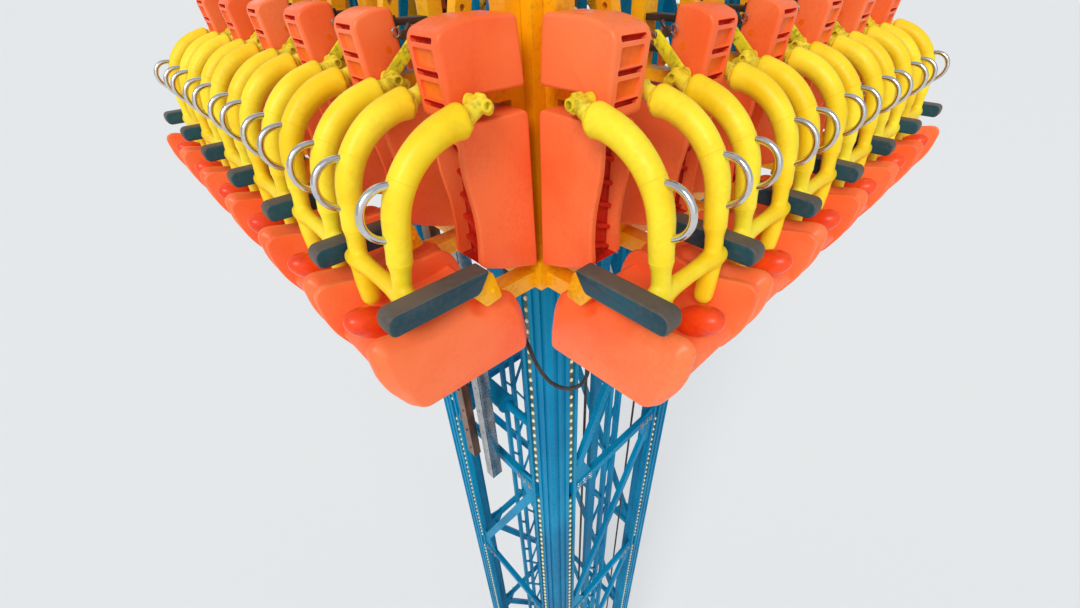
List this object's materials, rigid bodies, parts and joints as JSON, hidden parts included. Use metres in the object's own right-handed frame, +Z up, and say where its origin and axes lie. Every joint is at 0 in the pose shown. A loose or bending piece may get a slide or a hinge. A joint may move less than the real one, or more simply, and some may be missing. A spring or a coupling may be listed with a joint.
{
  "type": "drop tower ride",
  "caption": "Square lattice drop tower whose square carriage carries outward facing seats with over-shoulder restraints.",
  "frame": {"origin": "centre of the base frame, on its flat underside", "axes": "+Z up the tower, -Y towards the front row of seats, X along that row"},
  "size_m": [4.254, 4.254, 31.196],
  "materials": {
    "tower_paint": "gloss blue paint",
    "dark_steel": "dark greased steel",
    "bare_steel": "worn bare steel",
    "amber_paint": "satin amber paint",
    "copper": "brown oxidised copper",
    "black_rubber": "matt",
    "armrest_foam": "matt skinned foam",
    "coral_shell": "satin moulded shell",
    "yellow_foam": "skinned foam"
  },
  "bodies": {
    "tower": {"base_frame": "tower_paint", "columns": "tower_paint", "lattice_front": "tower_paint", "lattice_left": "tower_paint", "lattice_back": "tower_paint", "lattice_right": "tower_paint", "lift_mast": "tower_paint", "lift_ropes": "dark_steel", "cable_ladder": "dark_steel", "strut_tubes": "tower_paint", "head_frame": "tower_paint", "head_sheaves": "bare_steel", "sheave_shafts": "bare_steel"},
    "carriage": {"ring_lower": "amber_paint", "ring_upper": "amber_paint", "corner_posts": "amber_paint", "stanchions": "amber_paint", "seat_arms": "amber_paint", "lock_arms": "amber_paint", "brake_fins": "copper", "guide_bars": "bare_steel", "fin_hangers": "amber_paint", "guide_wheels": "black_rubber", "wheel_brackets": "amber_paint", "head_brackets": "dark_steel", "head_blocks": "coral_shell", "seat_backs": "coral_shell", "seat_pans_front": "coral_shell", "seat_pans_left": "coral_shell", "seat_pans_back": "coral_shell", "seat_pans_right": "coral_shell", "armrests": "armrest_foam", "armrest_brackets": "amber_paint", "hose": "black_rubber"},
    "restraint_front_1": {"restraint_front_1": "yellow_foam"},
    "restraint_front_2": {"restraint_front_2": "yellow_foam"},
    "restraint_front_3": {"restraint_front_3": "yellow_foam"},
    "restraint_front_4": {"restraint_front_4": "yellow_foam"},
    "restraint_front_5": {"restraint_front_5": "yellow_foam"},
    "restraint_front_6": {"restraint_front_6": "yellow_foam"},
    "restraint_left_1": {"restraint_left_1": "yellow_foam"},
    "restraint_left_2": {"restraint_left_2": "yellow_foam"},
    "restraint_left_3": {"restraint_left_3": "yellow_foam"},
    "restraint_left_4": {"restraint_left_4": "yellow_foam"},
    "restraint_left_5": {"restraint_left_5": "yellow_foam"},
    "restraint_left_6": {"restraint_left_6": "yellow_foam"},
    "restraint_back_1": {"restraint_back_1": "yellow_foam"},
    "restraint_back_2": {"restraint_back_2": "yellow_foam"},
    "restraint_back_3": {"restraint_back_3": "yellow_foam"},
    "restraint_back_4": {"restraint_back_4": "yellow_foam"},
    "restraint_back_5": {"restraint_back_5": "yellow_foam"},
    "restraint_back_6": {"restraint_back_6": "yellow_foam"},
    "restraint_right_1": {"restraint_right_1": "yellow_foam"},
    "restraint_right_2": {"restraint_right_2": "yellow_foam"},
    "restraint_right_3": {"restraint_right_3": "yellow_foam"},
    "restraint_right_4": {"restraint_right_4": "yellow_foam"},
    "restraint_right_5": {"restraint_right_5": "yellow_foam"},
    "restraint_right_6": {"restraint_right_6": "yellow_foam"}
  },
  "joints": [
    {"name": "carriage_lift", "type": "slide", "parent": "tower", "child": "carriage", "axis": [0, 0, 1], "range_m": [-20.8, 3]},
    {"name": "restraint_front_1_hinge", "type": "hinge", "parent": "carriage", "child": "restraint_front_1", "pos_m": [-1.25, -1.53, 24.902], "axis": [-1, 0, 0], "range_deg": [0, 75]},
    {"name": "restraint_front_2_hinge", "type": "hinge", "parent": "carriage", "child": "restraint_front_2", "pos_m": [-0.75, -1.53, 24.902], "axis": [-1, 0, 0], "range_deg": [0, 75]},
    {"name": "restraint_front_3_hinge", "type": "hinge", "parent": "carriage", "child": "restraint_front_3", "pos_m": [-0.25, -1.53, 24.902], "axis": [-1, 0, 0], "range_deg": [0, 75]},
    {"name": "restraint_front_4_hinge", "type": "hinge", "parent": "carriage", "child": "restraint_front_4", "pos_m": [0.25, -1.53, 24.902], "axis": [-1, 0, 0], "range_deg": [0, 75]},
    {"name": "restraint_front_5_hinge", "type": "hinge", "parent": "carriage", "child": "restraint_front_5", "pos_m": [0.75, -1.53, 24.902], "axis": [-1, 0, 0], "range_deg": [0, 75]},
    {"name": "restraint_front_6_hinge", "type": "hinge", "parent": "carriage", "child": "restraint_front_6", "pos_m": [1.25, -1.53, 24.902], "axis": [-1, 0, 0], "range_deg": [0, 75]},
    {"name": "restraint_left_1_hinge", "type": "hinge", "parent": "carriage", "child": "restraint_left_1", "pos_m": [-1.53, 1.25, 24.902], "axis": [0, 1, 0], "range_deg": [0, 75]},
    {"name": "restraint_left_2_hinge", "type": "hinge", "parent": "carriage", "child": "restraint_left_2", "pos_m": [-1.53, 0.75, 24.902], "axis": [0, 1, 0], "range_deg": [0, 75]},
    {"name": "restraint_left_3_hinge", "type": "hinge", "parent": "carriage", "child": "restraint_left_3", "pos_m": [-1.53, 0.25, 24.902], "axis": [0, 1, 0], "range_deg": [0, 75]},
    {"name": "restraint_left_4_hinge", "type": "hinge", "parent": "carriage", "child": "restraint_left_4", "pos_m": [-1.53, -0.25, 24.902], "axis": [0, 1, 0], "range_deg": [0, 75]},
    {"name": "restraint_left_5_hinge", "type": "hinge", "parent": "carriage", "child": "restraint_left_5", "pos_m": [-1.53, -0.75, 24.902], "axis": [0, 1, 0], "range_deg": [0, 75]},
    {"name": "restraint_left_6_hinge", "type": "hinge", "parent": "carriage", "child": "restraint_left_6", "pos_m": [-1.53, -1.25, 24.902], "axis": [0, 1, 0], "range_deg": [0, 75]},
    {"name": "restraint_back_1_hinge", "type": "hinge", "parent": "carriage", "child": "restraint_back_1", "pos_m": [1.25, 1.53, 24.902], "axis": [1, 0, 0], "range_deg": [0, 75]},
    {"name": "restraint_back_2_hinge", "type": "hinge", "parent": "carriage", "child": "restraint_back_2", "pos_m": [0.75, 1.53, 24.902], "axis": [1, 0, 0], "range_deg": [0, 75]},
    {"name": "restraint_back_3_hinge", "type": "hinge", "parent": "carriage", "child": "restraint_back_3", "pos_m": [0.25, 1.53, 24.902], "axis": [1, 0, 0], "range_deg": [0, 75]},
    {"name": "restraint_back_4_hinge", "type": "hinge", "parent": "carriage", "child": "restraint_back_4", "pos_m": [-0.25, 1.53, 24.902], "axis": [1, 0, 0], "range_deg": [0, 75]},
    {"name": "restraint_back_5_hinge", "type": "hinge", "parent": "carriage", "child": "restraint_back_5", "pos_m": [-0.75, 1.53, 24.902], "axis": [1, 0, 0], "range_deg": [0, 75]},
    {"name": "restraint_back_6_hinge", "type": "hinge", "parent": "carriage", "child": "restraint_back_6", "pos_m": [-1.25, 1.53, 24.902], "axis": [1, 0, 0], "range_deg": [0, 75]},
    {"name": "restraint_right_1_hinge", "type": "hinge", "parent": "carriage", "child": "restraint_right_1", "pos_m": [1.53, -1.25, 24.902], "axis": [0, -1, 0], "range_deg": [0, 75]},
    {"name": "restraint_right_2_hinge", "type": "hinge", "parent": "carriage", "child": "restraint_right_2", "pos_m": [1.53, -0.75, 24.902], "axis": [0, -1, 0], "range_deg": [0, 75]},
    {"name": "restraint_right_3_hinge", "type": "hinge", "parent": "carriage", "child": "restraint_right_3", "pos_m": [1.53, -0.25, 24.902], "axis": [0, -1, 0], "range_deg": [0, 75]},
    {"name": "restraint_right_4_hinge", "type": "hinge", "parent": "carriage", "child": "restraint_right_4", "pos_m": [1.53, 0.25, 24.902], "axis": [0, -1, 0], "range_deg": [0, 75]},
    {"name": "restraint_right_5_hinge", "type": "hinge", "parent": "carriage", "child": "restraint_right_5", "pos_m": [1.53, 0.75, 24.902], "axis": [0, -1, 0], "range_deg": [0, 75]},
    {"name": "restraint_right_6_hinge", "type": "hinge", "parent": "carriage", "child": "restraint_right_6", "pos_m": [1.53, 1.25, 24.902], "axis": [0, -1, 0], "range_deg": [0, 75]}
  ]
}
